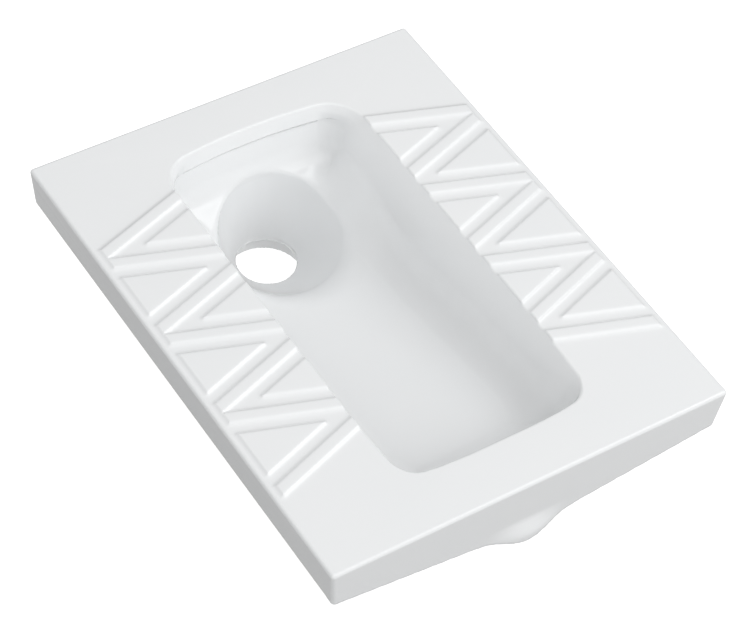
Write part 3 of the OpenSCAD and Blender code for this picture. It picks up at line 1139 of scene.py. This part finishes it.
@dataclass(frozen=True)
class PanPiece:
    """The casting as a Blender object that stands for the CAD pan.

    Attributes:
        most_moved: How far a point of the mesh may move onto the surface.
        slope_reach: How far to either side of a point the surface's slope is taken.
        lip_centre: Middle of the box round the lip, whose points aren't thinned: x, y, depth.
        lip_half: Half that box's size.
    """

    form: Casting = Casting()
    most_faces: int = 190_000
    most_moved: float = 1.2
    slope_reach: float = 0.35
    lip_centre: tuple[float, float, float] = (0.0, 50.0, 14.0)
    lip_half: tuple[float, float, float] = (105.0, 8.0, 12.0)

    def mesher(self) -> SkinMesher:
        """A grid that is fine at the treads, the rim and the lip."""
        sides = ((FINE_X, 3.0), (235.0, 1.4), (241.0, 1.5))
        along = (
            (-480.0, 2.0),
            (-436.0, 4.0),
            (-424.0, 2.0),
            (-404.0, 3.0),
            (16.0, 1.4),
            (40.0, 2.4),
            (60.0, 1.6),
            (100.0, 4.0),
            (116.0, 2.0),
        )
        upward = ((12.0, 2.0), (160.0, 3.0), (172.0, 1.5), (182.0, 2.5), (197.0, 1.0))
        xs = axis(-241.0, (-235.0, 1.5), (-FINE_X, 1.4), *sides)
        return SkinMesher(xs=xs, ys=axis(-496.0, *along), zs=axis(-4.0, *upward))

    def object(self, material: bpy.types.Material) -> bpy.types.Object:
        """Meshes the casting and puts it in the CAD pan's place.

        Args:
            material: Its glaze.

        Returns:
            The new object.
        """
        mesher = self.mesher()
        points, quads = mesher.skin(mesher.sample(self.form.distance))
        log.info("pan: %d points, %d quads before thinning", len(points), len(quads))
        points = settle(self.form.distance, points, self.most_moved)
        mesh = bpy.data.meshes.new("pan_casting")
        mesh.vertices.add(len(points))
        mesh.vertices.foreach_set("co", (points * MM).astype(np.float32).ravel())
        mesh.loops.add(4 * len(quads))
        mesh.loops.foreach_set("vertex_index", quads.astype(np.int32).ravel())
        mesh.polygons.add(len(quads))
        mesh.polygons.foreach_set("loop_start", np.arange(0, 4 * len(quads), 4, dtype=np.int32))
        mesh.update(calc_edges=True)
        piece = add("pan_casting", mesh)
        self.thin(piece, points, 2 * len(quads))
        self.smooth(piece.data)
        dress(piece, material)
        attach(piece, "root")
        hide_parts("pan")
        return piece

    def thin(self, piece: bpy.types.Object, points: Array, faces: int) -> None:
        """Takes flat triangles away, down to most_faces, but none at the lip.

        Args:
            piece: The pan's object.
            points: Its mesh's points, in millimetres.
            faces: How many triangles it has.
        """
        if faces <= self.most_faces:
            return
        at = self.form.place(points)
        sides = zip((at.x, at.y, at.d), self.lip_centre, self.lip_half, strict=True)
        lip = np.all([np.abs(value - middle) < half for value, middle, half in sides], axis=0)
        kept = piece.vertex_groups.new(name="lip")
        kept.add(np.flatnonzero(lip).tolist(), 1.0, "REPLACE")
        fewer = piece.modifiers.new("fewer", "DECIMATE")
        fewer.ratio = self.most_faces / faces
        fewer.vertex_group, fewer.invert_vertex_group = kept.name, True
        graph = bpy.context.evaluated_depsgraph_get()
        thinned = bpy.data.meshes.new_from_object(piece.evaluated_get(graph))
        piece.modifiers.clear()
        old, piece.data = piece.data, thinned
        bpy.data.meshes.remove(old)
        thinned.name = "pan_casting"

    def smooth(self, mesh: bpy.types.Mesh) -> None:
        """Shades the mesh by the casting's own surface and marks where it is bare.

        Args:
            mesh: The thinned mesh.
        """
        count = len(mesh.vertices)
        flat = np.empty(3 * count, np.float32)
        mesh.vertices.foreach_get("co", flat)
        points = flat.reshape(-1, 3).astype(float) / MM
        slope = gradient(self.form.distance, points, self.slope_reach)
        slope /= np.maximum(np.linalg.norm(slope, axis=1), TINY)[:, None]
        mesh.shade_smooth()
        mesh.normals_split_custom_set_from_vertices(slope.tolist())
        bare = mesh.attributes.new("bare", "FLOAT", "POINT")
        bare.data.foreach_set("value", self.form.bareness(points).astype(np.float32))


@dataclass(frozen=True)
class Seals:
    """The two rubber seals, kept in their CAD shapes."""

    names: tuple[str, ...] = ("outlet_seal", "inlet_seal")

    def dress(self, nodes: Mapping[str, bpy.types.Object], material: bpy.types.Material) -> None:
        """Gives both seals their rubber."""
        for name in self.names:
            dress(nodes[name], material)
            log.info("%s dressed", name)


# ---------------- studio


@dataclass(frozen=True)
class PhotoCamera:
    """The camera that took the photograph, its focal length in pixels of the photograph."""

    place: Vector = Vector((-1.1822, -1.6919, 2.3155))
    right: Vector = Vector((0.83782, -0.53871, 0.08860))
    down: Vector = Vector((-0.35970, -0.66676, -0.65272))
    ahead: Vector = Vector((0.41070, 0.51500, -0.75240))
    focal_px: float = 2782.0
    sensor: float = 36.0
    clip: tuple[float, float] = (0.05, 60.0)

    def make(self) -> bpy.types.Object:
        """Adds the camera and makes it the scene's."""
        lens = bpy.data.cameras.new("photo_camera")
        lens.sensor_fit = "HORIZONTAL"
        lens.sensor_width = self.sensor
        lens.lens = self.focal_px * self.sensor / IMAGE_W
        lens.clip_start, lens.clip_end = self.clip
        camera = add("photo_camera", lens)
        turn = Matrix((self.right, -self.down, -self.ahead)).transposed()
        camera.matrix_world = Matrix.Translation(self.place) @ turn.to_4x4()
        bpy.context.scene.camera = camera
        return camera


@dataclass(frozen=True)
class SoftBox:
    """A square area light aimed at the pan."""

    name: str
    place: Vector
    size: float
    power: float
    aim: Vector = Vector((0.0, -0.19, 0.12))

    def make(self) -> None:
        """Adds the light."""
        lamp = bpy.data.lights.new(self.name, "AREA")
        lamp.shape, lamp.size, lamp.energy = "SQUARE", self.size, self.power
        made = add(self.name, lamp)
        made.location = self.place
        made.rotation_euler = (self.aim - self.place).to_track_quat("-Z", "Y").to_euler()


@dataclass(frozen=True)
class Lobe:
    """A broad soft light far away, brightest in one direction.

    Attributes:
        azimuth: Its direction along the floor, in degrees from +X towards +Y.
        height: Its angle above the floor, in degrees.
        focus: How narrow it is: the power of the cosine it falls off with.
        level: Its brightness in the middle.
    """

    azimuth: float
    height: float
    focus: float
    level: float

    def wire(self, bench: ShaderBench, look: bpy.types.NodeSocket) -> Wire:
        """Its brightness in the direction a ray looks.

        Args:
            bench: Builds the nodes.
            look: The ray's direction.

        Returns:
            The brightness.
        """
        around, up = math.radians(self.azimuth), math.radians(self.height)
        flat = math.cos(up)
        toward = Vector((math.cos(around) * flat, math.sin(around) * flat, math.sin(up)))
        dot = {"operation": "DOT_PRODUCT"}
        facing = bench.wire("ShaderNodeVectorMath", dot, {0: look, 1: toward}, "Value")
        return facing.maths("MAXIMUM", facing, 0.0) ** self.focus * self.level


class Tone(Enum):
    """Levels of the world seen and in gloss, the floor's paint, its glow and its share in gloss."""

    SEEN = 1.0
    GLOSS = 0.3
    FLOOR = 0.35
    GLOW = 0.92
    FLOOR_GLOSS = 0.7


@dataclass(frozen=True)
class Studio:
    """Plain pale floor and soft light from all round, strongest from the front and above."""

    floor_z: float = -0.06
    floor_half: float = 12.0
    lobes: tuple[Lobe, ...] = (
        Lobe(0.0, 90.0, 3.0, 0.286),
        Lobe(180.0, 15.0, 4.0, 1.224),
        Lobe(225.0, 15.0, 4.0, 0.184),
        Lobe(270.0, 15.0, 4.0, 0.989),
        Lobe(315.0, 15.0, 4.0, 0.520),
        Lobe(0.0, 47.0, 8.0, 0.286),
        Lobe(45.0, 47.0, 8.0, 0.449),
        Lobe(90.0, 47.0, 8.0, 0.643),
        Lobe(135.0, 47.0, 8.0, 0.204),
        Lobe(270.0, 47.0, 8.0, 0.510),
        Lobe(315.0, 47.0, 8.0, 0.602),
    )
    lamps: tuple[SoftBox, ...] = (
        SoftBox("front", Vector((0.92, -2.71, 3.09)), 1.8, 10.5),
        SoftBox("under_outlet", Vector((0.0, 0.0, -0.055)), 0.12, 0.04, Vector((0.0, 0.0, 0.2))),
        SoftBox("front_right", Vector((2.32, -1.53, 3.09)), 1.8, 25.0),
    )

    def rays(self, bench: ShaderBench) -> tuple[Wire, Wire]:
        """1 for rays from the camera or through glass, and 1 for rays off gloss.

        Args:
            bench: Builds the nodes.

        Returns:
            The two values.
        """
        path = bench.node("ShaderNodeLightPath", {}, {})
        names = ("Is Camera Ray", "Is Glossy Ray", "Is Transmission Ray")
        camera, glossy, through = (Wire(bench, path.outputs[name]) for name in names)
        return (camera + through).clamped(), glossy

    def make(self) -> None:
        """Builds the world, the floor and the lights."""
        scene = bpy.context.scene
        scene.view_settings.view_transform = "Standard"
        world = bpy.data.worlds.new("studio")
        scene.world = world
        world.use_nodes = True
        bench = ShaderBench(world.node_tree)
        look = bench.node("ShaderNodeTexCoord", {}, {}).outputs["Generated"]
        light = sum((lobe.wire(bench, look) for lobe in self.lobes), start=Wire.number(bench, 0.0))
        seen, glossy = self.rays(bench)
        other = 1.0 - (seen + glossy).clamped()
        level = seen * Tone.SEEN.value + glossy * Tone.GLOSS.value + other * light
        bench.end("ShaderNodeBackground", {"Color": opaque(WHITE), "Strength": level}, "World")
        self.floor()
        for lamp in self.lamps:
            lamp.make()

    def floor(self) -> None:
        """Adds the floor, which reads as white, keeps the pan's shadow and is clear from below."""
        mesh = bpy.data.meshes.new("floor")
        signs = ((-1, -1), (1, -1), (1, 1), (-1, 1))
        corners = [(x * self.floor_half, y * self.floor_half, self.floor_z) for x, y in signs]
        mesh.from_pydata(corners, [], [(0, 1, 2, 3)])
        floor = add("floor", mesh)
        made, bench = new_material("floor_white")
        paint = bench.node("ShaderNodeBsdfDiffuse", {}, {"Color": opaque((Tone.FLOOR.value,) * 3)})
        seen, glossy = self.rays(bench)
        reflected = Tone.GLOSS.value * Tone.FLOOR_GLOSS.value
        level = seen * Tone.GLOW.value + glossy * reflected
        glow = bench.node("ShaderNodeEmission", {}, {"Color": opaque(WHITE), "Strength": level})
        both = bench.node("ShaderNodeAddShader", {}, {0: paint.outputs[0], 1: glow.outputs[0]})
        under = bench.node("ShaderNodeNewGeometry", {}, {}).outputs["Backfacing"]
        clear = bench.node("ShaderNodeBsdfTransparent", {}, {})
        shaders = {0: under, 1: both.outputs[0], 2: clear.outputs[0]}
        bench.end("ShaderNodeMixShader", shaders)
        dress(floor, made)


def main() -> None:
    """Builds the scene and reports each piece."""
    logging.basicConfig(level=logging.INFO, format="%(message)s")
    glaze = WhiteGlaze().material()
    rubber = SealRubber().material()
    pan = PanPiece().object(glaze)
    log.info("%s: %d faces", pan.name, len(pan.data.polygons))
    Seals().dress(frame["nodes"], rubber)
    PhotoCamera().make()
    Studio().make()


if __name__ == "__main__":
    main()
